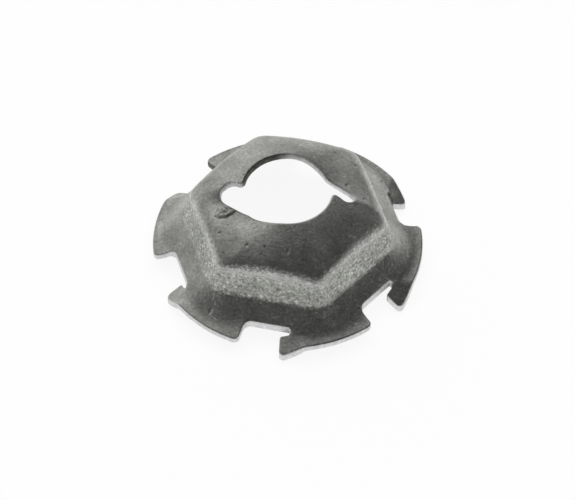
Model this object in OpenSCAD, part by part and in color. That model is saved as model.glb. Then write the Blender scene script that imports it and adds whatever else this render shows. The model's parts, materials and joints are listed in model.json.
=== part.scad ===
// Stamped hexagon nut with a toothed flange, pressed from one piece of spring steel sheet.
// A hexagonal boss rises from the flange, its crown climbs to a stud hole with a helical lip,
// and the flange is cut into six teeth whose ends are bent down as locking hooks.
// Millimetres, +Z up. The origin is on the hole's axis, in the plane of the six hook tips.

/* [Sheet] */
// Thickness of the steel sheet
sheet_t = 0.45; // [0.3:0.05:0.6]

/* [Hexagon boss] */
// Width across the flats at the rim, where a wrench grips
hex_flats = 11.1; // [10:0.1:12]
// Height of the rim's corners above the top of the flange
rim_height = 3.4; // [2.8:0.1:4.2]
// How much higher the rim is in the middle of a flat than at a corner
rim_bow = 0.35; // [0:0.05:0.6]
// Slope of the six walls, measured from the horizontal
wall_slope = 71; // [66:1:78]
// Corner radius of the hexagon at its rim
hex_corner = 0.9; // [0.6:0.1:1.5]
// How far the rounding of the rim reaches on each side of the edge
rim_setback = 0.55; // [0.2:0.05:0.7]
// Radius of the fillet where the walls run out into the flange
foot_fillet = 1.9; // [1.4:0.1:2.2]
// Corner radius of the hexagon where it has run out into the flange
foot_corner = 3.8; // [3:0.1:4.6]

/* [Crown and stud hole] */
// Diameter of the stud hole
hole_d = 5.7; // [5:0.1:6.4]
// Rise of the lip above the rim at its high end
lip_rise = 1.85; // [1.4:0.05:2.3]
// Drop of each half of the lip, from its high end to its low end
lip_drop = 1.15; // [0.6:0.05:1.3]
// Angle over which each half of the lip stays level before it drops
lip_level = 55; // [40:1:90]
// How closely the drop keeps to the hole: 1 runs evenly out to the rim, more bends the lip's edge
lip_curl = 1.6; // [1:0.1:2.5]
// How much the crown bulges above a straight cone, as a share of the rise
crown_bulge = 0.3; // [0:0.05:0.6]

/* [Lip slots] */
// Angle from a hexagon corner to the middle of each slot
slot_turn = 10; // [0:1:20]
// Distance from the axis to the closed end of each slot
slot_reach = 4.3; // [4:0.05:4.6]
// Diameter of the rounded closed end of each slot
slot_w = 1.2; // [0.9:0.05:1.25]
// Angle from the middle of each slot to the middle of the rounded nose at the lip's high end
slot_mouth = 9; // [8.5:0.5:13]
// Radius of that nose
slot_nose = 0.2; // [0.1:0.02:0.24]
// Angle from the middle of each slot to where it meets the low end of the lip
slot_flare = 33; // [24:1:42]

/* [Toothed flange] */
// Diameter over the six teeth
flange_d = 17.3; // [16.8:0.1:18]
// Width across the straight floors of opposite gaps
gap_floor_flats = 14; // [13.6:0.1:14.4]
// Angle from the middle of a gap to the plain end of a tooth
plain_end = 9.2; // [8:0.2:11]
// Angle from the middle of a gap to the hooked end of a tooth
hook_end = 8.5; // [7:0.5:9.5]
// Angle from the middle of a gap to the closed end of the slit beside the hook
slit_end = 13.5; // [12.5:0.5:16]
// Width of the slit
slit_w = 0.24; // [0.15:0.01:0.35]
// Angle by which the bend line of a hook swings back towards the outer edge
bend_swing = 6; // [3:0.5:8]
// Angle at which a hook is bent down
hook_bend = 38; // [20:1:42]
// Corner radius at the ends of the teeth
tooth_corner = 0.4; // [0.2:0.05:0.5]

/* [Hidden] */

// Round edges are drawn with this many sides
round_sides = 96;
// Cutters reach this far past the faces that they cut
past = 1;
// The crown's mesh starts inside the hole, at this share of the way from the rim to the hole
mesh_start = 1.25;
// The slit has a mesh line near each of its sides, at these shares of its width
near_side = 0.3;
far_side = 0.7;
// The round of a tooth or a nose runs out just past the sheet's edge: share of its radius inside
corner_inside = 0.9;
// How closely the mesh lines gather at the corners of the hexagon
corner_gather = 1.5;
// A hexagon has six of everything, and the lip has two halves
sides = 6;
half_sector = 180 / sides;
lip_halves = 2;

// Apothems of the section, from the hole outwards
hole_r = hole_d / 2;
rim_p = hex_flats / 2;
floor_p = gap_floor_flats / 2;
slit_p = floor_p + slit_w;
root_p = floor_p + near_side * slit_w;
hook_p = floor_p + far_side * slit_w;
flange_r = flange_d / 2;
wall_foot_p = rim_p + rim_height / tan(wall_slope);
fillet_end_p = wall_foot_p + foot_fillet * tan(wall_slope / 2);
fillet_start_p = fillet_end_p - foot_fillet * sin(wall_slope);

// Bend line of the hook beside a gap that is centred on the X axis
bend_start = hook_p * [1, tan(slit_end)];
bend_stop = flange_r * [cos(slit_end + bend_swing), sin(slit_end + bend_swing)];
bend_dir = (bend_stop - bend_start) / norm(bend_stop - bend_start);
bend_normal = [bend_dir.y, -bend_dir.x];

// The rounded outer corner of a hook is its lowest point
corner_r = flange_r - corner_inside * tooth_corner;
corner_angle = hook_end + asin(tooth_corner / corner_r);
corner_centre = corner_r * [cos(corner_angle), sin(corner_angle)];
hook_reach = bend_normal * (corner_centre - bend_start) + tooth_corner;
hook_t = sheet_t / cos(hook_bend);

// Heights of the upper face of the sheet
flange_z = hook_reach * tan(hook_bend) + hook_t;
rim_z = flange_z + rim_height;
top_z = rim_z + lip_rise;

// Steps of the mesh along the section and around the axis
crown_steps = 7;
rim_steps = 4;
foot_steps = 4;
edge_steps = 2;
corner_steps = 5;
flat_steps = 6;
slot_steps = 12;
tooth_steps = 5;
flat_step = 2 * slit_end / flat_steps;

function mix(a, b, t) = a + (b - a) * t;
function clamp01(t) = min(1, max(0, t));
function ease(t) = t * t * (3 - 2 * t);

// Polar radius of a hexagon of apothem p with corners of radius c, at angle a from a corner
function hex_radius(p, c, a) =
    let (turn = abs((a % (2 * half_sector) + 2 * half_sector) % (2 * half_sector) - half_sector))
    let (reach = (p - c) / cos(half_sector))
    let (from_corner = half_sector - turn)
    turn <= atan((p - c) * tan(half_sector) / p)
        ? p / cos(turn)
        : reach * cos(from_corner) + sqrt(c * c - pow(reach * sin(from_corner), 2));

// Corner radius of the hexagon at apothem p: round at the hole, crisp at the rim, round at the edge
function corner_at(p) =
    p < rim_p ? min(p, mix(hex_corner, hole_r, (rim_p - p) / (rim_p - hole_r)))
    : p < floor_p ? mix(hex_corner, foot_corner, ease((p - rim_p) / (floor_p - rim_p)))
    : mix(foot_corner, flange_r, (p - floor_p) / (flange_r - floor_p));

// Middle of a slot's round end. The nose beside it keeps clear of it, however short the slot is
slot_x = slot_reach - slot_w / 2;
slot_half = asin(slot_w / 2 / slot_x);
nose_r = hole_r + corner_inside * slot_nose;
nose_clear = pow(nose_r, 2) + pow(slot_x, 2) - pow(slot_w / 2 + slot_nose, 2);
nose_turn = max(slot_mouth, acos(min(1, nose_clear / (2 * nose_r * slot_x))));

// How far the lip lies below its high end at angle a: level, then dropping, then back in the slot
function lip_fall(a) =
    let (span = 360 / lip_halves)
    let (behind = ((slot_turn - nose_turn - a) % span + span) % span)
    let (low_at = span - nose_turn - slot_half)
    lip_drop * (behind < low_at
        ? ease(clamp01((behind - lip_level) / (low_at - lip_level)))
        : 1 - ease((behind - low_at) / (span - low_at)));

// Height of the rim at angle a, above its corners
corner_reach = hex_radius(rim_p, hex_corner, 0);
function bow(a) = rim_bow * (corner_reach - hex_radius(rim_p, hex_corner, a)) / (corner_reach - rim_p);

// The crown climbs with a bulge, from share 0 at the rim to 1 at the hole, less the lip's drop
function crown_share(s) = s + crown_bulge * s * (1 - s);
function crown_p(s) = mix(rim_p, hole_r, s);
function crown_z(s, a) = rim_z + mix(bow(a), lip_rise, crown_share(s)) - lip_fall(a) * pow(s, lip_curl);

// Height of the wall, its fillet and the flange at apothem p
function outer_z(p, a) =
    p < fillet_start_p ? rim_z - (p - rim_p) * tan(wall_slope)
        + bow(a) * (fillet_start_p - p) / (fillet_start_p - rim_p)
    : p < fillet_end_p ? flange_z + foot_fillet - sqrt(pow(foot_fillet, 2) - pow(fillet_end_p - p, 2))
    : flange_z;

// Rounded rim: a curve from the crown, pulled towards the sharp edge, to the wall
rim_share = rim_setback / (rim_p - hole_r);
rim_wall_p = rim_p + rim_setback * cos(wall_slope);
function rim_curve(inner, edge, outer, t) = mix(mix(inner, edge, t), mix(edge, outer, t), t);

// Places along the section: [apothem, height] at angle a
function section(a) = concat(
    [for (k = [0 : crown_steps - 1])
        let (s = mix(mesh_start, rim_share, k / crown_steps)) [crown_p(s), crown_z(s, a)]],
    [for (k = [0 : rim_steps])
        rim_curve([crown_p(rim_share), crown_z(rim_share, a)], [rim_p, rim_z + bow(a)],
            [rim_wall_p, outer_z(rim_wall_p, a)], k / rim_steps)],
    [for (k = [0 : foot_steps])
        let (p = mix(fillet_start_p, root_p, k / foot_steps)) [p, outer_z(p, a)]],
    [for (k = [0 : edge_steps])
        let (p = mix(hook_p, flange_r, k / edge_steps)) [p, outer_z(p, a)]]);

// Angles around the axis, close together at the corners, with one on each bend line
half_turns = [for (k = [0 : corner_steps - 1])
    mix(half_sector, slit_end, pow(1 - k / corner_steps, corner_gather))];
sector_turns = concat(half_turns, [half_sector],
    [for (k = [1 : corner_steps - 1]) 2 * half_sector - half_turns[corner_steps - k]],
    [for (k = [0 : flat_steps - 1]) 2 * half_sector - slit_end + k * flat_step]);
turns = [for (k = [0 : sides - 1]) for (t = sector_turns) half_sector * (2 * k + 1) + t];

// Beyond the slit the mesh lines swing with the bend lines
function swing(p) = bend_swing * max(0, (p - hook_p) / (flange_r - hook_p));

// How far a place beside a gap hangs below the flange. The drop starts inside the gap, clear of the
// plain end of one tooth, and is whole before the hook of the next
function gap_turn(a) = let (w = 2 * half_sector) ((a % w) + w) % w - half_sector;
drop_from = flat_step - plain_end;
drop_whole = max(hook_end - bend_swing - flat_step, drop_from + flat_step / 4);
function hook_drop(p, r, base) =
    let (turn = base + swing(p))
    let (beyond = bend_normal * (r * [cos(turn), sin(turn)] - bend_start))
    p < hook_p ? 0
    : tan(hook_bend) * max(0, beyond) * clamp01((base - drop_from) / (drop_whole - drop_from));

// One point of the sheet's upper face
function top_point(place, turn) =
    let (p = place[0])
    let (a = turn + swing(p))
    let (r = hex_radius(p, corner_at(p), a))
    [r * cos(a), r * sin(a), place[1] - hook_drop(p, r, gap_turn(turn))];

around = len(turns);
sections = [for (t = turns) section(t)];
along = len(sections[0]);
top_face = [for (j = [0 : along - 1]) [for (i = [0 : around - 1]) top_point(sections[i][j], turns[i])]];

// The lower face lies one sheet thickness below: square to the section on the boss, and plumb under
// the teeth, where a slope makes the plumb thickness larger
function foot_slope(p) = p < fillet_end_p ? tan(asin((fillet_end_p - p) / foot_fillet)) : 0;
function plumb_t(p, bent) = sheet_t * norm([1, foot_slope(p), bent ? tan(hook_bend) : 0]);
function sheet_normal(i, j) =
    let (inner = top_face[max(j - 1, 0)][i])
    let (outer = top_face[j + 1][i])
    let (run = norm([outer.x, outer.y]) - norm([inner.x, inner.y]))
    let (fall = inner.z - outer.z)
    [fall * cos(turns[i]), fall * sin(turns[i]), run] / norm([fall, run]);
tooth_from = along - edge_steps - 2;
function lower_point(i, j) =
    let (base = gap_turn(turns[i]))
    let (bent = base > drop_from && base < slit_end - flat_step / 2)
    j < tooth_from ? top_face[j][i] - sheet_t * sheet_normal(i, j)
    : top_face[j][i] - [0, 0, plumb_t(sections[i][j][0], bent)];
lower_face = [for (j = [0 : along - 1]) [for (i = [0 : around - 1]) lower_point(i, j)]];

// The whole pressed sheet before it is pierced and cut, as one closed skin
module pressed_sheet() {
    points = concat([for (row = top_face) each row], [for (row = lower_face) each row]);
    under = along * around;
    function at(i, j) = j * around + i % around;
    faces = [for (i = [0 : around - 1]) each concat(
        [for (j = [0 : along - 2]) each [
            [at(i, j), at(i + 1, j), at(i + 1, j + 1)],
            [at(i, j), at(i + 1, j + 1), at(i, j + 1)],
            [under + at(i, j), under + at(i + 1, j + 1), under + at(i + 1, j)],
            [under + at(i, j), under + at(i, j + 1), under + at(i + 1, j + 1)]]],
        [[at(i, 0), under + at(i + 1, 0), at(i + 1, 0)],
         [at(i, 0), under + at(i, 0), under + at(i + 1, 0)],
         [at(i, along - 1), at(i + 1, along - 1), under + at(i + 1, along - 1)],
         [at(i, along - 1), under + at(i + 1, along - 1), under + at(i, along - 1)]])];
    polyhedron(points, faces);
}

// Points of an arc about a centre, and the angle at which a line from a point touches that circle
function arc(centre, r, from, to, steps) =
    [for (k = [0 : steps]) let (a = mix(from, to, k / steps)) centre + r * [cos(a), sin(a)]];
function touch_angle(centre, r, point, side) =
    let (v = point - centre) atan2(v.y, v.x) + side * acos(min(1, r / norm(v)));
// A point beyond the second of two points, on the line through them
function onward(a, b, by) = b + by * (b - a) / norm(b - a);

// Outline of one lip slot: a round end behind the rounded nose of the high end, flared towards the
// low end. The side beside the nose touches the round end on one face and the nose on the other
module slot_outline() {
    centre = [slot_x, 0];
    r = slot_w / 2;
    nose_centre = nose_r * [cos(nose_turn), -sin(nose_turn)];
    low_tip = hole_r * [cos(slot_flare), sin(slot_flare)];
    side_turn = touch_angle(centre, r + slot_nose, nose_centre, 1);
    nose = arc(nose_centre, slot_nose, 180 - nose_turn, side_turn + 180, tooth_steps);
    round_end = arc(centre, r, side_turn, touch_angle(centre, r, low_tip, -1), slot_steps);
    polygon(concat(nose, round_end, [onward(round_end[slot_steps], low_tip, past / 2)]));
}

// Outline of one gap: the rounded plain end of a tooth, the straight floor, the slit that frees
// the next tooth's hook, and the rounded end of that hook
module gap_outline() {
    far = flange_r + past;
    plain_turn = plain_end + asin(tooth_corner / corner_r);
    plain_centre = corner_r * [cos(plain_turn), -sin(plain_turn)];
    root_x = floor_p + tooth_corner;
    root_centre = [root_x, tooth_corner / cos(plain_end) - root_x * tan(plain_end)];
    slit_centre = [floor_p + slit_w / 2, floor_p * tan(slit_end) - slit_w / 2];
    polygon(concat(
        [far * [cos(plain_turn), -sin(plain_turn)]],
        arc(plain_centre, tooth_corner, -plain_turn, 90 - plain_end, tooth_steps),
        arc(root_centre, tooth_corner, 270 - plain_end, 180, tooth_steps),
        arc(slit_centre, slit_w / 2, 180, 0, tooth_steps),
        [slit_p * [1, tan(hook_end)]],
        arc(corner_centre, tooth_corner, hook_end - 90, corner_angle, tooth_steps),
        [far * [cos(corner_angle), sin(corner_angle)]]));
}

module through_cut() {
    translate([0, 0, -past]) linear_extrude(top_z + 2 * past) children();
}

// The nut: the pressed sheet, pierced for the stud and cut into teeth
module stamped_nut() {
    color([0.36, 0.37, 0.34])
    difference() {
        pressed_sheet();
        translate([0, 0, -past]) cylinder(h = top_z + 2 * past, r = hole_r, $fn = round_sides);
        for (k = [0 : lip_halves - 1])
            rotate(slot_turn + k * 360 / lip_halves) through_cut() slot_outline();
        for (k = [0 : sides - 1])
            rotate(half_sector * (2 * k + 1)) through_cut() gap_outline();
    }
}

stamped_nut();
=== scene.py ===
# %% [markdown]
# A stamped grille nut. It is one blank of thin spring steel: a press pushes up a hexagon that a
# wrench can hold, pierces the stud hole, bends the hole's edge into one turn of a screw, and trims
# the flange into six teeth with bent hooks. The imported model gives its place and its true sizes,
# and this lesson models the same pressing again with a fine mesh, rolled edges and a worn finish,
# with a painted highlight on the rim and painted shade on some cut edges.

# %% Load the imported model
import json
import math

import bmesh
import bpy
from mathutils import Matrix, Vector
from mathutils.noise import noise as noise_at


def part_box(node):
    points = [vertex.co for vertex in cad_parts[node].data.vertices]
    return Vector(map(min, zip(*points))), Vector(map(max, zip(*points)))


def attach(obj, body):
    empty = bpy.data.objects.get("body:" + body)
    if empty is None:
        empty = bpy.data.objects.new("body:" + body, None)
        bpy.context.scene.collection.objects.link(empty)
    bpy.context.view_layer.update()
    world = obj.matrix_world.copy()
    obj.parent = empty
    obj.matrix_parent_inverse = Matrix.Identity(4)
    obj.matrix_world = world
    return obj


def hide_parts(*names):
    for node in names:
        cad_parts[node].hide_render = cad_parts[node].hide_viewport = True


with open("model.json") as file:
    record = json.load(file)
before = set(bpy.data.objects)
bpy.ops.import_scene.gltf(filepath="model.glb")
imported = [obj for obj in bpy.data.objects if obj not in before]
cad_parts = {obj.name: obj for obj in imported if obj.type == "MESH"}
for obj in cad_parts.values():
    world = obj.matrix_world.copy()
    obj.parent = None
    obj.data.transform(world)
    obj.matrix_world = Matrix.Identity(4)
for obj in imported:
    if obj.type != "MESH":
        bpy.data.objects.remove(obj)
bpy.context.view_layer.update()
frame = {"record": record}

NODE = "stamped_nut"
MM = 0.001
TOP_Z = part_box(NODE)[1].z / MM


# %% [markdown]
# The camera comes first. A small part is photographed from well away with a long lens, so its far side
# is hardly smaller than its near side. The angles were found by laying the model's outline over the
# nut's outline, and the picture is 575 by 500.

# %% Set the camera
IMAGE_WIDTH = 575
IMAGE_HEIGHT = 500
CAMERA_TURN = 12.406
CAMERA_RISE = 51.09
CAMERA_AWAY = 227.3
CAMERA_CLIP = 10
AIM_BELOW_TOP = 2.012
AIM_PIXEL = (287.81, 208.16)
PIXELS_PER_MM = 15.77
SENSOR_WIDTH = 36


def sind(angle):
    return math.sin(math.radians(angle))


def cosd(angle):
    return math.cos(math.radians(angle))


level = cosd(CAMERA_RISE)
back = Vector((level * sind(CAMERA_TURN), -level * cosd(CAMERA_TURN), sind(CAMERA_RISE)))
right = Vector((cosd(CAMERA_TURN), sind(CAMERA_TURN), 0))
up = back.cross(right)
aside = (AIM_PIXEL[0] - IMAGE_WIDTH / 2) / PIXELS_PER_MM
above = (IMAGE_HEIGHT / 2 - AIM_PIXEL[1]) / PIXELS_PER_MM
eye = Vector((0, 0, TOP_Z - AIM_BELOW_TOP)) + CAMERA_AWAY * back - aside * right - above * up

bpy.ops.object.camera_add(location=eye * MM, rotation=back.to_track_quat("Z", "Y").to_euler())
camera = bpy.context.object
camera.data.sensor_width = SENSOR_WIDTH
camera.data.lens = SENSOR_WIDTH * PIXELS_PER_MM * CAMERA_AWAY / IMAGE_WIDTH
camera.data.clip_start = CAMERA_CLIP * MM
bpy.context.scene.camera = camera
bpy.context.scene.view_settings.view_transform = "Standard"
print("lens", round(camera.data.lens, 1), "mm, camera", round(CAMERA_AWAY), "mm away")


# %% [markdown]
# These are the sizes of the pressing's profile in millimetres and degrees. Most are those that the model
# was made with, and a few are drawn closer to the real nut. The sheet is described by its upper face: a
# crown, a rounded rim, six sloped walls, their foot and a flat flange. A place on it is given by an angle
# and an apothem, which is the distance from the axis to the middle of the flat of the hexagon that the
# place lies on. One fillet could make the foot, but on the real nut it is a short round and then an
# apron that flattens out into the teeth, so it is drawn that way.

# %% Sizes of the profile
HEX_FLATS = 11.1
RIM_HEIGHT = 3.4
RIM_SETBACK = 0.5
LIP_RISE = 1.85
WALL_SLOPE = 74.5
FOOT_ROUND = 0.9
APRON_SLOPE = 44
APRON_END_P = 7.6
APRON_ROUND = 2.1
FLOOR_P = 7.2
FLANGE_R = 8.65

stud_hole = next(mount for mount in frame["record"]["mounts"] if mount["name"] == "stud_hole")
HOLE_R = stud_hole["dims"]["r_mm"]
RIM_Z = TOP_Z - LIP_RISE
FLANGE_Z = RIM_Z - RIM_HEIGHT
RIM_P = HEX_FLATS / 2


def tand(angle):
    return math.tan(math.radians(angle))


def round_ends(apothem, before, after, radius):
    """Where a round starts and ends beside a corner between two slopes."""
    reach = radius * tand((before - after) / 2)
    return apothem - reach * cosd(before), apothem + reach * cosd(after)


WALL_END_P = RIM_P + RIM_HEIGHT / tand(WALL_SLOPE)
WALL_PER_APRON = tand(WALL_SLOPE) / tand(APRON_SLOPE)
FOOT_P = (WALL_END_P * WALL_PER_APRON - APRON_END_P) / (WALL_PER_APRON - 1)
FOOT_START_P, FOOT_STOP_P = round_ends(FOOT_P, WALL_SLOPE, APRON_SLOPE, FOOT_ROUND)
FLAT_START_P, FLAT_STOP_P = round_ends(APRON_END_P, APRON_SLOPE, 0, APRON_ROUND)
RIM_CROWN_P = RIM_P - RIM_SETBACK
RIM_WALL_P = RIM_P + RIM_SETBACK * cosd(WALL_SLOPE)
print("hole radius", HOLE_R, "rim height", round(RIM_Z, 3), "flange height", round(FLANGE_Z, 3))


# %% [markdown]
# The hexagon is what a wrench holds. It could be a six-sided cylinder with bevelled corners, but here the
# corners change from ring to ring: they are round at the hole, crisp at the rim and round again at the
# outer edge. A hexagon with round corners can be written as one formula, its radius at an angle. With a
# formula the shape can be measured anywhere, so the mesh may be as fine as it needs to be.

# %% Hexagon with round corners
HEX_CORNER = 0.9
FOOT_CORNER = 3.8
HALF_SECTOR = 30
SECTOR = 2 * HALF_SECTOR
HALVINGS = 30


def mix(a, b, t):
    return a + (b - a) * t


def clamp01(t):
    return min(1, max(0, t))


def ease(t):
    return t * t * (3 - 2 * t)


def hex_radius(apothem, corner, angle):
    """Polar radius of a hexagon with rounded corners, at an angle from one of its corners."""
    from_flat = abs(angle % SECTOR - HALF_SECTOR)
    reach = (apothem - corner) / cosd(HALF_SECTOR)
    from_corner = HALF_SECTOR - from_flat
    if from_flat <= math.degrees(math.atan((apothem - corner) * tand(HALF_SECTOR) / apothem)):
        return apothem / cosd(from_flat)
    return reach * cosd(from_corner) + math.sqrt(corner**2 - (reach * sind(from_corner)) ** 2)


def corner_at(apothem):
    """Corner radius of the hexagon: round at the hole, crisp at the rim, round at the outer edge."""
    if apothem < RIM_P:
        return min(apothem, mix(HEX_CORNER, HOLE_R, (RIM_P - apothem) / (RIM_P - HOLE_R)))
    if apothem < FLOOR_P:
        return mix(HEX_CORNER, FOOT_CORNER, ease((apothem - RIM_P) / (FLOOR_P - RIM_P)))
    return mix(FOOT_CORNER, FLANGE_R, (apothem - FLOOR_P) / (FLANGE_R - FLOOR_P))


def apothem_at(radius, angle):
    """The apothem of the crown's hexagon that passes through a point, found by halving."""
    low, high = HOLE_R / 2, RIM_P
    for _ in range(HALVINGS):
        middle = (low + high) / 2
        if hex_radius(middle, corner_at(middle), angle) < radius:
            low = middle
        else:
            high = middle
    return low


CORNER_REACH = hex_radius(RIM_P, HEX_CORNER, 0)
print("rim corners reach", round(CORNER_REACH, 3), "mm from the axis")


# %% [markdown]
# The edge of the stud hole is the nut's thread. It has two halves, and each stays level for a while and
# then drops to its low end, where a slot lets the other half start high again. A screw modifier could
# make a thread of even pitch, but this one is level first, so its fall is a formula of the angle. The
# fall is whole at the hole and fades out at the rim, and the rim itself is a little higher between its
# corners.

# %% Lip and crown
RIM_BOW = 0.35
CROWN_BULGE = 0.3
LIP_DROP = 1.15
LIP_LEVEL = 80
LIP_CURL = 1.5
SLOT_TURN = 10
SLOT_REACH = 4.3
SLOT_WIDTH = 1.2
SLOT_MOUTH = 10.5
SLOT_NOSE = 0.25
HALF_TURN = 180

SLOT_X = SLOT_REACH - SLOT_WIDTH / 2
SLOT_HALF = math.degrees(math.asin(SLOT_WIDTH / 2 / SLOT_X))
LOW_AT = HALF_TURN - SLOT_MOUTH - SLOT_HALF
HIGH_AT = HALF_TURN - math.degrees(SLOT_NOSE / (HOLE_R + SLOT_NOSE))


def lip_fall(angle):
    """How far the hole's edge is below its high end: nothing, then more, then back inside the slot."""
    behind = (SLOT_TURN - SLOT_MOUTH - angle) % HALF_TURN
    if behind < LOW_AT:
        return LIP_DROP * ease(clamp01((behind - LIP_LEVEL) / (LOW_AT - LIP_LEVEL)))
    return LIP_DROP * (1 - ease(clamp01((behind - LOW_AT) / (HIGH_AT - LOW_AT))))


def bow(angle):
    """How much higher the rim is at an angle than at its corners."""
    return RIM_BOW * (CORNER_REACH - hex_radius(RIM_P, HEX_CORNER, angle)) / (CORNER_REACH - RIM_P)


def crown_height(apothem, angle):
    """Height of the crown: a bulging climb from the rim, less the lip's fall."""
    share = (RIM_P - apothem) / (RIM_P - HOLE_R)
    climb = mix(bow(angle), LIP_RISE, share + CROWN_BULGE * share * (1 - share))
    return RIM_Z + climb - lip_fall(angle) * share**LIP_CURL


print("lip level for", LIP_LEVEL, "degrees, lowest after", round(LOW_AT, 1), "degrees")


# %% [markdown]
# Below the rim the press has drawn the sheet into six walls that turn outwards at their foot. A bevel on
# a folded sheet would give one round only, so the height is worked out piece by piece from the rim
# outwards: wall, round, apron, a second and wider round, and the flat flange.

# %% Walls, foot and flange
def round_rise(apothem, stop, slope, radius):
    """How much higher a place on a round is than the end of the round, where it has a given slope."""
    lean = sind(slope) + (stop - apothem) / radius
    return radius * (cosd(slope) - math.sqrt(1 - lean * lean))


def outer_height(apothem, angle):
    """Height of the wall, its foot, the apron and the flange."""
    if apothem < FOOT_START_P:
        fade = (FOOT_START_P - apothem) / (FOOT_START_P - RIM_P)
        return RIM_Z - (apothem - RIM_P) * tand(WALL_SLOPE) + bow(angle) * fade
    if apothem < FOOT_STOP_P:
        foot_z = FLANGE_Z + (APRON_END_P - FOOT_STOP_P) * tand(APRON_SLOPE)
        return foot_z + round_rise(apothem, FOOT_STOP_P, APRON_SLOPE, FOOT_ROUND)
    if apothem < FLAT_START_P:
        return FLANGE_Z + (APRON_END_P - apothem) * tand(APRON_SLOPE)
    if apothem < FLAT_STOP_P:
        return FLANGE_Z + round_rise(apothem, FLAT_STOP_P, 0, APRON_ROUND)
    return FLANGE_Z


print("foot at apothem", round(FOOT_P, 3), "apron flat from apothem", round(FLAT_STOP_P, 3))


# %% [markdown]
# The inner edge of the sheet is the stud hole together with its two slots. It could be cut with a
# boolean, which leaves ragged faces in a bent sheet. A designer would draw it as one line instead: along
# the hole, round the nose of the lip's high end, out along the slot, round its closed end, and back along
# a flared side to the low end of the other half. The line is worked out once, for a slot that points
# along X.

# %% Line of a slot
SLOT_FLARE = 33
SLOT_ARC_STEPS = 24
NOSE_ARC_STEPS = 12


def polar(radius, angle):
    return Vector((radius * cosd(angle), radius * sind(angle)))


def touch_angle(centre, radius, point, side):
    """Angle at which a line from a point touches a circle."""
    reach = point - centre
    spread = math.degrees(math.acos(radius / reach.length))
    return math.degrees(math.atan2(reach.y, reach.x)) + side * spread


def arc_points(centre, radius, start, stop, steps):
    return [centre + polar(radius, mix(start, stop, step / steps)) for step in range(steps + 1)]


slot_centre = Vector((SLOT_X, 0))
nose_centre = polar(HOLE_R + SLOT_NOSE, -SLOT_MOUTH)
low_tip = polar(HOLE_R, SLOT_FLARE)
nose_turn = HALF_TURN - SLOT_MOUTH
side_turn = touch_angle(slot_centre, SLOT_WIDTH / 2 + SLOT_NOSE, nose_centre, 1)
far_turn = touch_angle(slot_centre, SLOT_WIDTH / 2, low_tip, -1)
slot_line = arc_points(nose_centre, SLOT_NOSE, nose_turn, side_turn + HALF_TURN, NOSE_ARC_STEPS)
slot_line += arc_points(slot_centre, SLOT_WIDTH / 2, side_turn, far_turn, SLOT_ARC_STEPS)
slot_line.append(low_tip)
slot_length = sum((b - a).length for a, b in zip(slot_line, slot_line[1:]))
print("slot line", round(slot_length, 2), "mm long, round from", round(side_turn), "to", round(far_turn))


# %% [markdown]
# Each mesh line starts at one point of the inner edge. Equal steps of angle would leave too few points
# along the sides of a slot. So the mesh lines near a slot share out the whole length of its line, and
# the others share out the hole between the slots. A punch leaves no sharp turns, so each point is the
# mean of a few neighbours.

# %% Points of the inner edge
SLOT_SPAN = 30
SOFTEN = 0.8
SOFTEN_STEPS = 5


def along_slot(share):
    """The point at a share of the way along the slot's line."""
    left = clamp01(share) * slot_length
    for a, b in zip(slot_line, slot_line[1:]):
        step = (b - a).length
        if left <= step:
            return a.lerp(b, left / step)
        left -= step
    return slot_line[-1]


def edge_point(angle):
    """The point of the sheet's inner edge that belongs to a mesh line at an angle."""
    turn = (angle - SLOT_TURN + SLOT_SPAN) % HALF_TURN - SLOT_SPAN
    if turn <= SLOT_SPAN:
        flat = along_slot((turn + SLOT_SPAN) / (2 * SLOT_SPAN))
    else:
        share = (turn - SLOT_SPAN) / (HALF_TURN - 2 * SLOT_SPAN)
        flat = polar(HOLE_R, mix(SLOT_FLARE, HALF_TURN - SLOT_MOUTH, share))
    c, s = cosd(angle - turn), sind(angle - turn)
    return Vector((flat.x * c - flat.y * s, flat.x * s + flat.y * c))


def soft_edge_point(angle):
    """The same point with the line's sharp turns eased, as the punch leaves them."""
    turns = [mix(-SOFTEN, SOFTEN, k / (SOFTEN_STEPS - 1)) for k in range(SOFTEN_STEPS)]
    return sum((edge_point(angle + turn) for turn in turns), Vector((0, 0))) / SOFTEN_STEPS


print("inner edge at the slot", [round(value, 3) for value in soft_edge_point(SLOT_TURN)])


# %% [markdown]
# The flange has six teeth, each with a hook beside a gap. The mesh has lines that run outwards, and rings
# that run round, and each sector of sixty degrees has the same lines: across the gap, across the hook,
# and across the body of the tooth. The teeth could be cut out of an even grid, but their edges would be
# stepped. So the lines are placed on the edges of gap and slit, and beyond the slit they swing, so that
# one of them follows the slanted line of the hook's bend.

# %% Lines of the mesh
PLAIN_END = 9.2
HOOK_END = 8.5
SLIT_END = 13.5
SLIT_WIDTH = 0.24
GAP_LINES = 24
HOOK_LINES = 10
BODY_LINES = 44
SECTOR_LINES = GAP_LINES + HOOK_LINES + BODY_LINES
SECTORS = 6
LINES = SECTORS * SECTOR_LINES


def line_turn(line):
    """Angle of a mesh line from the middle of its gap, before any swing, and its share of the swing."""
    place = line % SECTOR_LINES
    if place <= GAP_LINES:
        return mix(-PLAIN_END, HOOK_END, place / GAP_LINES), 0
    place -= GAP_LINES
    if place <= HOOK_LINES:
        return mix(HOOK_END, SLIT_END, place / HOOK_LINES), place / HOOK_LINES
    place -= HOOK_LINES
    return mix(SLIT_END, SECTOR - PLAIN_END, place / BODY_LINES), 1 - place / BODY_LINES


def gap_middle(line):
    return HALF_SECTOR + SECTOR * (line // SECTOR_LINES)


print(LINES, "lines,", SECTOR_LINES, "in each sector")


# %% [markdown]
# The rings stand closer together where the sheet turns: over the rim they take equal steps along its
# curve, round the foot equal steps of slope, and elsewhere equal steps outwards. One even spacing would
# need many more rings for the same smooth rounds. One ring lies on the floors of the gaps, and the hooks
# start on another, so that the slits are left between the two.

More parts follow.
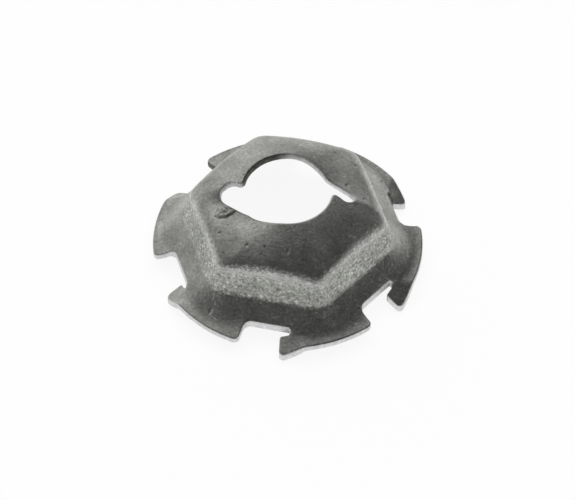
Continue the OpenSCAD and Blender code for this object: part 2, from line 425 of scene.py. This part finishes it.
# %% Rings of the mesh
CROWN_RINGS = 14
RIM_RINGS = 6
WALL_RINGS = 9
FOOT_RINGS = 8
APRON_RINGS = 3
SLIT_RINGS = 2
TOOTH_RINGS = 8
SLIT_P = FLOOR_P + SLIT_WIDTH
outer_rings = [mix(RIM_WALL_P, FOOT_START_P, k / WALL_RINGS) for k in range(1, WALL_RINGS)]
for k in range(FOOT_RINGS):
    slope = mix(WALL_SLOPE, APRON_SLOPE, k / FOOT_RINGS)
    outer_rings.append(FOOT_STOP_P - FOOT_ROUND * (sind(slope) - sind(APRON_SLOPE)))
outer_rings += [mix(FOOT_STOP_P, FLOOR_P, k / APRON_RINGS) for k in range(APRON_RINGS)]
outer_rings += [mix(FLOOR_P, SLIT_P, k / SLIT_RINGS) for k in range(SLIT_RINGS)]
outer_rings += [mix(SLIT_P, FLANGE_R, k / TOOTH_RINGS) for k in range(TOOTH_RINGS + 1)]
FIRST_RIM = CROWN_RINGS
FIRST_OUTER = CROWN_RINGS + RIM_RINGS + 1
RINGS = FIRST_OUTER + len(outer_rings)
FOOT_RING = FIRST_OUTER + WALL_RINGS - 1 + FOOT_RINGS
FLOOR_RING = FOOT_RING + APRON_RINGS
SLIT_RING = FLOOR_RING + SLIT_RINGS
print(RINGS, "rings; gap floors on ring", FLOOR_RING, "hooks from ring", SLIT_RING)


# %% [markdown]
# Cut corners are never sharp on a pressing. A vertex bevel could round them, but it would break the even
# rings. So a square corner of the grid is turned into a round one by a small formula that maps a square
# onto a quarter of a disc and leaves its far sides where they are.

# %% Round corners of the teeth
TOOTH_CORNER = 0.4
HOOK_INNER_CORNER = 0.1
BEND_SWING = 6
BEND_FROM_SLIT = 0.7
HOOK_P = FLOOR_P + BEND_FROM_SLIT * SLIT_WIDTH


def rounded(u, v, radius):
    """Distances from two edges that meet, moved so that their corner gets a radius."""
    if u >= radius or v >= radius:
        return u, v
    x, y = 1 - u / radius, 1 - v / radius
    return radius * (1 - x * math.sqrt(1 - y * y / 2)), radius * (1 - y * math.sqrt(1 - x * x / 2))


def round_corner(turn, apothem, corner, into, radius):
    """Turn and apothem of a point near a corner, moved so that the corner gets a radius.

    The corner is a turn and an apothem, and into gives the signs of the way into its angle.
    """
    beside = into[0] * math.radians(turn - corner[0]) * apothem
    u, v = rounded(beside, into[1] * (apothem - corner[1]), radius)
    return corner[0] + into[0] * math.degrees(u / apothem), corner[1] + into[1] * v


def tooth_place(apothem, line, ring):
    """Apothem and turn of a mesh point near the teeth, with rounded corners of gap, slit and hook."""
    place = line % SECTOR_LINES
    turn, share = line_turn(line)
    turn += share * BEND_SWING * max(0, (apothem - HOOK_P) / (FLANGE_R - HOOK_P))
    if ring >= SLIT_RING and place >= GAP_LINES:
        turn, apothem = round_corner(turn, apothem, (HOOK_END, FLANGE_R), (1, -1), TOOTH_CORNER)
        turn, apothem = round_corner(turn, apothem, (HOOK_END, SLIT_P), (1, 1), HOOK_INNER_CORNER)
    if place == 0 or place > GAP_LINES + HOOK_LINES:
        plain_turn = -PLAIN_END if place == 0 else SECTOR - PLAIN_END
        turn, apothem = round_corner(turn, apothem, (plain_turn, FLANGE_R), (-1, -1), TOOTH_CORNER)
    on_floor = ring == FLOOR_RING and place <= GAP_LINES
    on_plain_end = ring >= FLOOR_RING and place == 0
    if (on_floor or on_plain_end) and apothem - FLOOR_P < TOOTH_CORNER:
        turn, apothem = round_corner(turn, apothem, (-PLAIN_END, FLOOR_P), (1, 1), TOOTH_CORNER)
    if ring in (FLOOR_RING, SLIT_RING) and GAP_LINES <= place <= GAP_LINES + HOOK_LINES:
        out = 1 if ring == FLOOR_RING else -1
        turn, apothem = round_corner(turn, apothem, (SLIT_END, apothem), (-1, out), SLIT_WIDTH / 2)
    return apothem, turn


print("corner radius", TOOTH_CORNER, "mm on the teeth,", HOOK_INNER_CORNER, "mm inside the hooks")


# %% [markdown]
# The hooks lock the nut: each one is a corner of a tooth, freed by a slit and bent down. A bend could be
# made by turning faces about a hinge, which leaves a sharp fold. A formula of the distance from the bend
# line gives the fold a small radius, and the steel beside it is laid flat first, as a hook is.

# %% Bent hooks
HOOK_BEND = 38
BEND_ROUND = 0.2
BEND_LINES = 4
FLAT_LINES = 22
bend_start = HOOK_P * Vector((1, tand(SLIT_END)))
bend_stop = polar(FLANGE_R, SLIT_END + BEND_SWING)
bend_along = (bend_stop - bend_start).normalized()
bend_across = Vector((bend_along.y, -bend_along.x))


def hook_drop(radius, turn):
    """How far a place of a hook hangs below the flange, with a small radius along the bend."""
    beyond = bend_across.dot(polar(radius, turn) - bend_start)
    if abs(beyond) < BEND_ROUND:
        return tand(HOOK_BEND) * (beyond + BEND_ROUND) ** 2 / (4 * BEND_ROUND)
    return tand(HOOK_BEND) * max(0, beyond)


def is_hook(line):
    """Whether a line crosses a hook or the steel that the round of its bend reaches."""
    return GAP_LINES <= line % SECTOR_LINES <= GAP_LINES + HOOK_LINES + BEND_LINES


def flat_share(line):
    """How flat the flange is at a line: wholly at the free end of a hook, less further back."""
    return 1 - ease(clamp01((line % SECTOR_LINES - GAP_LINES) / FLAT_LINES))


print("hooks hang up to", round(hook_drop(FLANGE_R, HOOK_END), 2), "mm below the flange")


# %% [markdown]
# Every point of the upper face now follows from its ring and its line. Inside the rim the lines run
# straight from the inner edge to the hexagon, so the mesh fits the slots without any cutting. The round
# of the rim is a curve between its two tangents, and outside it the formulas of the walls take over.

# %% A point of the upper face
def crown_point(ring, angle):
    """A point of the crown, on the straight way from the inner edge to the rim."""
    inner = soft_edge_point(angle)
    outer = polar(hex_radius(RIM_CROWN_P, corner_at(RIM_CROWN_P), angle), angle)
    flat = inner.lerp(outer, ring / CROWN_RINGS)
    own_angle = math.degrees(math.atan2(flat.y, flat.x))
    return Vector((*flat, crown_height(apothem_at(flat.length, own_angle), own_angle)))


def rim_place(ring, angle):
    """Apothem and height on the round of the rim."""
    share = (ring - FIRST_RIM) / RIM_RINGS
    inner = Vector((RIM_CROWN_P, crown_height(RIM_CROWN_P, angle)))
    edge = Vector((RIM_P, RIM_Z + bow(angle)))
    outer = Vector((RIM_WALL_P, outer_height(RIM_WALL_P, angle)))
    return inner.lerp(edge, share).lerp(edge.lerp(outer, share), share)


def sheet_point(ring, line):
    """A point of the upper face in millimetres."""
    turn, _ = line_turn(line)
    angle = gap_middle(line) + turn
    if ring < FIRST_RIM:
        return crown_point(ring, angle)
    if ring < FIRST_OUTER:
        apothem, height = rim_place(ring, angle)
    else:
        apothem = outer_rings[ring - FIRST_OUTER]
        if ring >= FLOOR_RING:
            apothem, turn = tooth_place(apothem, line, ring)
            angle = gap_middle(line) + turn
        height = outer_height(apothem, angle)
    radius = hex_radius(apothem, corner_at(apothem), angle)
    if ring >= SLIT_RING and line % SECTOR_LINES >= GAP_LINES:
        height = mix(height, FLANGE_Z, flat_share(line))
    if ring >= SLIT_RING and is_hook(line):
        height -= hook_drop(radius, turn)
    return Vector((*polar(radius, angle), height))


print("first point of the inner edge", [round(value, 3) for value in sheet_point(0, 0)])


# %% [markdown]
# The sheet is drawn as a press operator would see it, from the hole outwards. A circle with one
# vertex for each mesh line is the start. Its edge is extruded ring by ring, and each new ring is laid
# on the formula. Two attributes remember the ring and the line of every vertex.

# %% Draw the sheet ring by ring
bpy.ops.object.select_all(action="DESELECT")
bpy.ops.mesh.primitive_circle_add(vertices=LINES, radius=HOLE_R * MM)
nut = bpy.context.object
nut.name = "pressed_nut"
nut.data.name = "pressed_nut"
nut.data.attributes.new("mesh_ring", "FLOAT", "POINT")
nut.data.attributes.new("mesh_line", "INT", "POINT").data.foreach_set("value", range(LINES))


def ring_and_line(mesh):
    """The layers of a mesh that keep the ring and the line of its vertices."""
    return mesh.verts.layers.float["mesh_ring"], mesh.verts.layers.int["mesh_line"]


def lay_ring(ring):
    """Puts the selected vertices where their ring and line say."""
    mesh = bmesh.from_edit_mesh(nut.data)
    ring_of, line_of = ring_and_line(mesh)
    for vertex in mesh.verts:
        if vertex.select:
            vertex[ring_of] = ring
            vertex.co = sheet_point(ring, vertex[line_of]) * MM
    bmesh.update_edit_mesh(nut.data)


bpy.ops.object.mode_set(mode="EDIT")
bpy.ops.mesh.select_mode(type="VERT")
bpy.ops.mesh.select_all(action="SELECT")
lay_ring(0)
for ring in range(1, RINGS):
    bpy.ops.mesh.extrude_region_move()
    lay_ring(ring)
bpy.ops.object.mode_set(mode="OBJECT")
print("sheet of", len(nut.data.polygons), "faces")


# %% [markdown]
# The press trims the flange last. A boolean could do that here, but the mesh already has lines along
# every cut. So the faces over the gaps and the slits are selected by their ring and line and deleted,
# which leaves the six teeth.

# %% Trim the gaps and the slits
def edit_faces():
    """Opens the nut's faces for editing, with none selected."""
    bpy.ops.object.mode_set(mode="EDIT")
    bpy.ops.mesh.select_mode(type="FACE")
    bpy.ops.mesh.select_all(action="DESELECT")
    return bmesh.from_edit_mesh(nut.data)


def first_line(face, layer):
    """The line at which a face starts; the last face of a ring ends on line 0."""
    lines = sorted({vertex[layer] for vertex in face.verts})
    return lines[-1] if lines[0] == 0 and lines[-1] == LINES - 1 else lines[0]


mesh = edit_faces()
ring_of, line_of = ring_and_line(mesh)
for face in mesh.faces:
    ring = min(vertex[ring_of] for vertex in face.verts)
    place = first_line(face, line_of) % SECTOR_LINES
    in_gap = ring >= FLOOR_RING and place < GAP_LINES
    in_slit = FLOOR_RING <= ring < SLIT_RING and place < GAP_LINES + HOOK_LINES
    face.select_set(in_gap or in_slit)
trimmed = sum(face.select for face in mesh.faces)
bmesh.update_edit_mesh(nut.data)
bpy.ops.mesh.delete(type="FACE")
bpy.ops.mesh.select_all(action="SELECT")
mesh = bmesh.from_edit_mesh(nut.data)
if sum(face.normal.z for face in mesh.faces) < 0:
    bpy.ops.mesh.flip_normals()
bpy.ops.object.mode_set(mode="OBJECT")
print("trimmed", trimmed, "faces, left", len(nut.data.polygons))


# %% [markdown]
# No pressing leaves its tool spotless. Beside one slot the punch has pushed up a flake of steel: a small
# ridge, with a furrow before it and torn metal behind it. Here and there grit was pressed in and left a
# pit. A bump texture could only pretend to be that deep, so the marks get a height, worked out from the
# distance to the flake's line and to each pit.

# %% Shape of the press marks
FLAKE_PLACES = ((3.3, 208.8), (3.76, 213.1), (4.19, 214.2), (4.59, 211.8), (4.9, 208.1))
FLAKE = [polar(radius, angle) for radius, angle in FLAKE_PLACES]
FLAKE_HEIGHT = 0.1
FLAKE_WIDTH = 0.09
FLAKE_FADE = 5
FURROW_SHARE = 0.5
FURROW_OFF = FLAKE_WIDTH / 3
FURROW_WIDTH = FLAKE_WIDTH / 2
TORN_DEPTH = 0.12
TORN_REACH = 0.85
TORN_FADE = 2
TORN_GRAIN = 5.5
PIT_PLACES = (
    (3.9, 28.3), (4.82, 12.3), (5.2, 46.2), (4.66, 249.2), (4.52, 282.6),
    (5.05, 224.4), (7.75, 243.6), (7.95, 314.5), (7.6, 49.5),
)
PITS = [polar(radius, angle) for radius, angle in PIT_PLACES]
PIT_DEPTH = 0.06
PIT_RADIUS = 0.1
MARK_SPREAD = 3


def hump(distance, width):
    return math.exp(-((distance / width) ** 2))


def from_flake(flat):
    """Distance of a place from the flake's line, counted towards the slot, and its share of the way."""
    best = None
    for index, (a, b) in enumerate(zip(FLAKE, FLAKE[1:])):
        along = b - a
        share = clamp01((flat - a).dot(along) / along.length_squared)
        off = flat - a.lerp(b, share)
        side = 1 if along.y * off.x - along.x * off.y > 0 else -1
        if best is None or off.length < abs(best[0]):
            best = (side * off.length, (index + share) / (len(FLAKE) - 1))
    return best


def mark_height(flat):
    """How far a place of the sheet is pushed up by the marks, in millimetres."""
    height = -sum(PIT_DEPTH * hump((flat - pit).length, PIT_RADIUS) for pit in PITS)
    off, share = from_flake(flat)
    fade = clamp01(FLAKE_FADE * share) * clamp01(FLAKE_FADE * (1 - share))
    ridge = hump(off - FLAKE_WIDTH, FLAKE_WIDTH) - FURROW_SHARE * hump(off + FURROW_OFF, FURROW_WIDTH)
    torn = clamp01(off / FLAKE_WIDTH - 1) * clamp01(TORN_FADE * (1 - off / TORN_REACH))
    grain = noise_at(Vector((*flat, 0)) * TORN_GRAIN)
    return height + fade * (FLAKE_HEIGHT * ridge + TORN_DEPTH * torn * grain)


def is_marked(flat):
    off, share = from_flake(flat)
    on_flake = 0 < share < 1 and -MARK_SPREAD * FLAKE_WIDTH < off < TORN_REACH
    return on_flake or any((flat - pit).length < MARK_SPREAD * PIT_RADIUS for pit in PITS)


print("one flake and", len(PITS), "pits")


# %% [markdown]
# The grid is too coarse for such small marks. Cutting the whole sheet finer would waste faces, so only
# the faces near a mark are subdivided, away from the cut edges, and their vertices are then pushed along
# the sheet's own direction.

# %% Press the marks into the sheet
FINE_CUTS = 3
mesh = edit_faces()
for face in mesh.faces:
    on_edge = any(vertex.is_boundary for vertex in face.verts)
    face.select_set(not on_edge and is_marked(face.calc_center_median().xy / MM))
bmesh.update_edit_mesh(nut.data)
bpy.ops.mesh.subdivide(number_cuts=FINE_CUTS)
mesh = bmesh.from_edit_mesh(nut.data)
mesh.normal_update()
marked = [vertex for vertex in mesh.verts if not vertex.is_boundary and is_marked(vertex.co.xy / MM)]
moves = [mark_height(vertex.co.xy / MM) * MM * vertex.normal for vertex in marked]
for vertex, move in zip(marked, moves):
    vertex.co += move
bmesh.update_edit_mesh(nut.data)
bpy.ops.object.mode_set(mode="OBJECT")
print("marks made with", len(marked), "vertices")


# %% [markdown]
# Sockets and other nuts in the bin rub the rim of the hexagon bright, and the same band on the rim also
# carries a painted highlight for the glint along its ridge. The walls were stretched in the press, which
# makes steel grainy. In the slits and along a part of the hole the cut edge is darkened as painted shade.
# These could be painted by hand, but every vertex knows its ring and line, so three attributes are
# worked out that keep how strongly it shows each of them, and the finishes read those.

# %% Worn rim with painted highlight, drawn walls and painted edge shade
# Place and width of the rim's band of rubbed steel and painted highlight, in shares of the rim's round.
RUB_HIGHLIGHT_AT = 0.86
RUB_HIGHLIGHT_WIDTH = 0.18
DRAWN_GAIN = 1.5
# Angles of the hole between which its cut edge gets painted shade.
EDGE_SHADE_FROM = 88
EDGE_SHADE_FULL = 104
EDGE_SHADE_LAST = 161
EDGE_SHADE_TO = 164


def kept(name):
    """The values that an attribute of the nut keeps for its vertices."""
    return [item.value for item in nut.data.attributes[name].data]


def add_share(name, shares):
    """Keeps a share from 0 to 1 for each vertex of the nut."""
    nut.data.attributes.new(name, "FLOAT", "POINT").data.foreach_set("value", shares)
    print(name, "vertices:", sum(share > 0.5 for share in shares))


def drawn_share(ring):
    """How grainy the steel is: fully on the walls, fading over the rim's round and over the foot."""
    start = clamp01(DRAWN_GAIN * (ring - FIRST_RIM) / RIM_RINGS - (DRAWN_GAIN - 1))
    return start * clamp01((FOOT_RING - ring) / FOOT_RINGS)


def painted_edge_shade_share(ring, line):
    """How dark a cut edge is painted as shade: all of it in the slits and beside one nose, else none."""
    if ring == SLIT_RING and GAP_LINES <= line % SECTOR_LINES <= GAP_LINES + HOOK_LINES:
        return 1
    turn = (gap_middle(line) + line_turn(line)[0]) % (2 * HALF_TURN)
    start = clamp01((turn - EDGE_SHADE_FROM) / (EDGE_SHADE_FULL - EDGE_SHADE_FROM))
    return start * clamp01((EDGE_SHADE_TO - turn) / (EDGE_SHADE_TO - EDGE_SHADE_LAST))


rings, lines = kept("mesh_ring"), kept("mesh_line")
# Rub marks and a painted highlight along the rim's ridge.
add_share("rub_highlight", [hump((ring - FIRST_RIM) / RIM_RINGS - RUB_HIGHLIGHT_AT, RUB_HIGHLIGHT_WIDTH) for ring in rings])
add_share("drawn", [drawn_share(ring) for ring in rings])
# Painted shade on the cut edges in the slits and at a part of the hole.
add_share("painted_edge_shade", [painted_edge_shade_share(ring, line) for ring, line in zip(rings, lines)])


# %% [markdown]
# The steel has a dull phosphate coat. A picture of steel could be wrapped round the nut, but the sheet
# would have to be unwrapped for it. Noise in the object's own space needs no unwrapping and holds still
# on the part, so the coat starts with the place of each point, scaled to millimetres.

# %% Start the phosphate coat
def new_finish(name):
    """A new material and the tree of its nodes."""
    finish = bpy.data.materials.new(name)
    finish.use_nodes = True
    return finish, finish.node_tree


def add_node(tree, kind, **settings):
    made = tree.nodes.new(kind)
    for name, value in settings.items():
        setattr(made, name, value)
    return made


def millimetres(tree):
    """Object coordinates in millimetres."""
    where = add_node(tree, "ShaderNodeTexCoord")
    scaled = add_node(tree, "ShaderNodeMapping")
    scaled.inputs["Scale"].default_value = (1 / MM, 1 / MM, 1 / MM)
    tree.links.new(where.outputs["Object"], scaled.inputs["Vector"])
    return scaled.outputs["Vector"]


coat, tree = new_finish("phosphate_coat")
shader = tree.nodes["Principled BSDF"]
shader.inputs["Metallic"].default_value = 1
place = millimetres(tree)
print(coat.name, "starts with", len(tree.nodes), "nodes")


# %% [markdown]
# The coat has fine crystals in olive grey, lighter and darker in patches, with small pits. One even grey
# would look like plastic, so three sizes of noise are multiplied: patches, crystals and pits. Where the
# steel was drawn the crystals stand out more, so two ramps of the same noise are blended by that share.

# %% Patches, crystals and pits
COAT_TONES = [
    (0.3, (0.355, 0.362, 0.337)),
    (0.5, (0.435, 0.442, 0.415)),
    (0.7, (0.525, 0.532, 0.503)),
]
FINE_TONES = [(0.3, 0.65), (0.5, 0.96), (0.6, 1.06), (0.72, 1.45)]
COARSE_TONES = [(0.32, 0.4), (0.45, 0.95), (0.55, 1.45), (0.66, 2.4)]
PIT_TONES = [(0.2, 0.45), (0.26, 1)]


def noise(tree, place, scale, detail, roughness=0.5):
    """A noise texture whose scale counts features in a millimetre."""
    made = add_node(tree, "ShaderNodeTexNoise")
    made.inputs["Scale"].default_value = scale
    made.inputs["Detail"].default_value = detail
    made.inputs["Roughness"].default_value = roughness
    tree.links.new(place, made.inputs["Vector"])
    return made.outputs["Fac"]


def ramp(tree, value, stops):
    """A colour ramp from a list of (position, colour or grey) stops."""
    made = add_node(tree, "ShaderNodeValToRGB")
    elements = made.color_ramp.elements
    while len(elements) < len(stops):
        elements.new(1)
    for element, (position, colour) in zip(elements, stops):
        element.position = position
        grey = (colour, colour, colour) if isinstance(colour, (int, float)) else colour
        element.color = (*grey, 1)
    tree.links.new(value, made.inputs["Fac"])
    return made.outputs["Color"]


def share_of(tree, name):
    """The share that an attribute keeps."""
    return add_node(tree, "ShaderNodeAttribute", attribute_name=name).outputs["Fac"]


def feed(tree, value, socket):
    """Links a socket to another one, or sets it to a constant."""
    if isinstance(value, bpy.types.NodeSocket):
        tree.links.new(value, socket)
    else:
        socket.default_value = value


def blend(tree, share, a, b, way="MIX"):
    """Two colours mixed in a given way, by a share that is constant or changes from place to place."""
    made = add_node(tree, "ShaderNodeMix", data_type="RGBA", blend_type=way)
    feed(tree, share, made.inputs["Factor"])
    tree.links.new(a, made.inputs["A"])
    tree.links.new(b, made.inputs["B"])
    return made.outputs["Result"]


patches = ramp(tree, noise(tree, place, scale=0.7, detail=3), COAT_TONES)
speckle = noise(tree, place, scale=5.5, detail=4, roughness=0.65)
fine = ramp(tree, speckle, FINE_TONES)
coarse = ramp(tree, speckle, COARSE_TONES)
crystals = blend(tree, share_of(tree, "drawn"), fine, coarse)
pits = ramp(tree, noise(tree, place, scale=2.6, detail=1, roughness=0.4), PIT_TONES)
colour = blend(tree, 1, patches, crystals, "MULTIPLY")
colour = blend(tree, 1, colour, pits, "MULTIPLY")
print("colour of the coat made, now", len(tree.nodes), "nodes")


# %% [markdown] Rubbed rim and painted highlight
# On the rim the coat is rubbed through to bright steel, in marks and not evenly, and the same bright
# steel is a painted highlight for the glint along the rim's ridge. An even band would look painted on, so
# the share of wear and highlight is multiplied by one more noise before it blends the bright steel in.

# %% Rubbed rim
RUB_HIGHLIGHT_SHARES = [(0.35, 0.2), (0.6, 1)]
# Bright steel for the rub marks, also standing in as a painted highlight on the rim.
BRIGHT_STEEL_AND_HIGHLIGHT_TONES = [(0.35, (0.55, 0.56, 0.55)), (0.65, (0.82, 0.83, 0.82))]


def reckon(tree, operation, a, b):
    """The sum or the product of two values, held between 0 and 1."""
    made = add_node(tree, "ShaderNodeMath", operation=operation, use_clamp=True)
    feed(tree, a, made.inputs[0])
    feed(tree, b, made.inputs[1])
    return made.outputs[0]


rub_and_highlight_marks = ramp(tree, noise(tree, place, scale=3, detail=3, roughness=0.6), RUB_HIGHLIGHT_SHARES)
rubbed_and_highlit = reckon(tree, "MULTIPLY", share_of(tree, "rub_highlight"), rub_and_highlight_marks)
bright_steel_and_highlight = ramp(tree, noise(tree, place, scale=6, detail=3), BRIGHT_STEEL_AND_HIGHLIGHT_TONES)
feed(tree, blend(tree, rubbed_and_highlit, colour, bright_steel_and_highlight), shader.inputs["Base Color"])
print("rubbed steel blended in, now", len(tree.nodes), "nodes")


# %% [markdown]
# Crystals scatter the light. The roughness wanders a little, and the crystals and pits tilt the surface
# by a few hundredths of a millimetre. For so little a bump is enough, since no outline could show it.

# %% Roughness and relief of the coat
COAT_ROUGHNESS = [(0.3, 0.3), (0.7, 0.44)]
CRYSTAL_HEIGHT = 0.02
grain = ramp(tree, noise(tree, place, scale=5, detail=3), COAT_ROUGHNESS)
feed(tree, grain, shader.inputs["Roughness"])
bump = add_node(tree, "ShaderNodeBump")
bump.inputs["Strength"].default_value = 1
bump.inputs["Distance"].default_value = CRYSTAL_HEIGHT * MM
feed(tree, blend(tree, 1, crystals, pits, "MULTIPLY"), bump.inputs["Height"])
feed(tree, bump.outputs["Normal"], shader.inputs["Normal"])
print(coat.name, "of", len(tree.nodes), "nodes")


# %% [markdown]
# Where the press has cut the sheet there is bare steel, paler and plainer than the coat, but some of the
# cut edges are darkened with painted shade, in the slits and along part of the hole. Two materials could
# show that. One material that blends by the share of painted shade needs no border between them.

# %% The cut edge
BARE_TONES = [(0.3, (0.7, 0.7, 0.7)), (0.7, (0.9, 0.9, 0.91))]
# The dark tones of the cut edge are painted shade.
EDGE_SHADE_TONES = [(0.3, (0.14, 0.14, 0.13)), (0.7, (0.24, 0.24, 0.22))]
EDGE_ROUGHNESS = 0.62

edge_finish, tree = new_finish("cut_edge")
shader = tree.nodes["Principled BSDF"]
marks = noise(tree, millimetres(tree), scale=4, detail=3)
bare = ramp(tree, marks, BARE_TONES)
shaded_edge_tone = ramp(tree, marks, EDGE_SHADE_TONES)
feed(tree, blend(tree, share_of(tree, "painted_edge_shade"), bare, shaded_edge_tone), shader.inputs["Base Color"])
shader.inputs["Metallic"].default_value = 1
shader.inputs["Roughness"].default_value = EDGE_ROUGHNESS
print(edge_finish.name, "of", len(tree.nodes), "nodes")


# %% [markdown]
# The sheet gets its thickness downwards with a solidify modifier, and the new rim takes the second
# finish. The flange is trimmed straight down, so at the teeth and the gaps the lower face is put plumb
# under the upper one. The hole is pierced before its edge is bent, so there the cut stays nearly square
# to the sheet. Further away from the hole the correction fades out over a few rings.

# %% Give the sheet its thickness
SHEET = 0.45
PLUMB_RINGS = 5
HOLE_SQUARE = 0.7
nut.data.materials.append(coat)
nut.data.materials.append(edge_finish)
top_count = len(nut.data.vertices)
normals = [vertex.normal.copy() for vertex in nut.data.vertices]
thicken = nut.modifiers.new("sheet", "SOLIDIFY")
thicken.thickness = SHEET * MM
thicken.offset = -1
thicken.use_even_offset = True
thicken.use_quality_normals = True
thicken.material_offset_rim = 1
bpy.ops.object.modifier_apply(modifier=thicken.name)
rings = kept("mesh_ring")
vertices = nut.data.vertices
for index in range(top_count):
    through = Vector((0, 0, SHEET / normals[index].z))
    share = 1
    if rings[index] < FLOOR_RING:
        through = through.lerp(SHEET * normals[index], HOLE_SQUARE)
        share = clamp01(1 - rings[index] / PLUMB_RINGS)
    lower = vertices[top_count + index]
    lower.co = lower.co.lerp(vertices[index].co - through * MM, share)
print("sheet with thickness:", len(nut.data.polygons), "faces")


# %% [markdown]
# A punch pulls the upper edge of its cut down into a soft roll, most of all where the steel was bent
# afterwards, at the hole. The lower edge stays nearly square. Several bevels could do that, but each
# would change the edges of the next. So each cut edge gets a weight for its roll, and one bevel then
# rounds them all.

# %% Roll the cut edges
HOLE_ROLL = 0.12
OUTER_ROLL = 0.11
UPPER_ROLL = 0.065
LOWER_ROLL = 0.04
ROLL_STEPS = 3
SMOOTH_LIMIT = 38


def roll_of(key):
    """The roll of a cut edge between two vertices, or none where the edge runs through the sheet."""
    upper = [index < top_count for index in key]
    if upper[0] != upper[1]:
        return 0
    if not upper[0]:
        return LOWER_ROLL
    if rings[key[0]] == rings[key[1]] == 0:
        return HOLE_ROLL
    return OUTER_ROLL if rings[key[0]] == rings[key[1]] == RINGS - 1 else UPPER_ROLL


edge_of = {tuple(sorted(edge.vertices)): edge.index for edge in nut.data.edges}
weights = [0] * len(nut.data.edges)
for face in nut.data.polygons:
    if face.material_index == 1:
        for key in face.edge_keys:
            weights[edge_of[key]] = roll_of(key) / HOLE_ROLL
nut.data.attributes.new("bevel_weight_edge", "FLOAT", "EDGE").data.foreach_set("value", weights)
roll = nut.modifiers.new("rolled_edges", "BEVEL")
roll.width = HOLE_ROLL * MM
roll.segments = ROLL_STEPS
roll.limit_method = "WEIGHT"
roll.use_clamp_overlap = False
roll.loop_slide = False
bpy.ops.object.modifier_apply(modifier=roll.name)
bpy.ops.object.shade_smooth_by_angle(angle=math.radians(SMOOTH_LIMIT))
nut.data.calc_loop_triangles()
print("nut of", len(nut.data.vertices), "vertices and", len(nut.data.loop_triangles), "triangles")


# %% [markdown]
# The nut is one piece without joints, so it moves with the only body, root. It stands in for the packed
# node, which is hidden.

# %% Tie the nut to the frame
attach(nut, "root")
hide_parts(NODE)
print(nut.name, "stands in for", NODE)


# %% [markdown]
# The stage is a white table. Satin steel looks like what it reflects, so the table matters as much as
# the lamps: the sloped walls show its white. Plain paper would come out grey under such soft lamps, so
# the table glows for the camera and for reflections, while a share of paper is left in it to hold the
# nut's soft shadow.

# %% White table
TABLE_SIZE = 1600
TABLE_GLOW = 0.9
PAPER_TONE = (0.9, 0.9, 0.9, 1)
bpy.ops.object.select_all(action="DESELECT")
bpy.ops.mesh.primitive_plane_add(size=TABLE_SIZE * MM)
table = bpy.context.object
table.name = "table"
paper, tree = new_finish("white_paper")
tree.nodes.remove(tree.nodes["Principled BSDF"])
matte = add_node(tree, "ShaderNodeBsdfDiffuse")
matte.inputs["Color"].default_value = PAPER_TONE
glow = add_node(tree, "ShaderNodeEmission")
glow.inputs["Strength"].default_value = 1
rays = add_node(tree, "ShaderNodeLightPath").outputs
seen = reckon(tree, "ADD", rays["Is Camera Ray"], rays["Is Glossy Ray"])
seen = reckon(tree, "ADD", seen, rays["Is Transmission Ray"])
both = add_node(tree, "ShaderNodeMixShader")
feed(tree, reckon(tree, "MULTIPLY", seen, TABLE_GLOW), both.inputs["Fac"])
feed(tree, matte.outputs[0], both.inputs[1])
feed(tree, glow.outputs[0], both.inputs[2])
feed(tree, both.outputs[0], tree.nodes["Material Output"].inputs["Surface"])
table.data.materials.append(paper)
print("table", TABLE_SIZE, "mm wide")


# %% [markdown]
# The room is dim towards the camera and overhead, and bright towards the back left, as beside a window
# with a thin curtain. A dot product with the window's direction gives that slow change without an edge,
# so the crown, the rim and the flange each pick up their own tone from the way they face. Two large
# lamps add soft light, and the one overhead is kept out of the reflections.

# %% Soft room light
WINDOW_WAY = (-0.57, 0.67, 0.47)
ROOM_TONES = [(0.3, 0.1), (0.5, 0.12), (0.66, 0.16), (0.78, 0.38), (0.93, 0.56)]
room = bpy.data.worlds.new("soft_room")
bpy.context.scene.world = room
room.use_nodes = True
tree = room.node_tree
way = add_node(tree, "ShaderNodeTexCoord")
facing = add_node(tree, "ShaderNodeVectorMath", operation="DOT_PRODUCT")
facing.inputs[1].default_value = Vector(WINDOW_WAY).normalized()
feed(tree, way.outputs["Generated"], facing.inputs[0])
halved = add_node(tree, "ShaderNodeMapRange")
halved.inputs["From Min"].default_value = -1
feed(tree, facing.outputs["Value"], halved.inputs["Value"])
tones = ramp(tree, halved.outputs["Result"], ROOM_TONES)
feed(tree, tones, tree.nodes["Background"].inputs["Color"])


def soft_lamp(name, place, size, watts):
    """A square lamp that looks at the nut; its place and size are in millimetres."""
    where = Vector(place) * MM
    turn = where.to_track_quat("Z", "Y").to_euler()
    bpy.ops.object.light_add(type="AREA", location=where, rotation=turn)
    lamp = bpy.context.object
    lamp.name = name
    lamp.data.size = size * MM
    lamp.data.energy = watts
    return lamp


soft_lamp("window_lamp", place=(-310, 360, 330), size=360, watts=0.2)
ceiling = soft_lamp("ceiling_lamp", place=(0, 0, 700), size=900, watts=5)
ceiling.visible_glossy = False
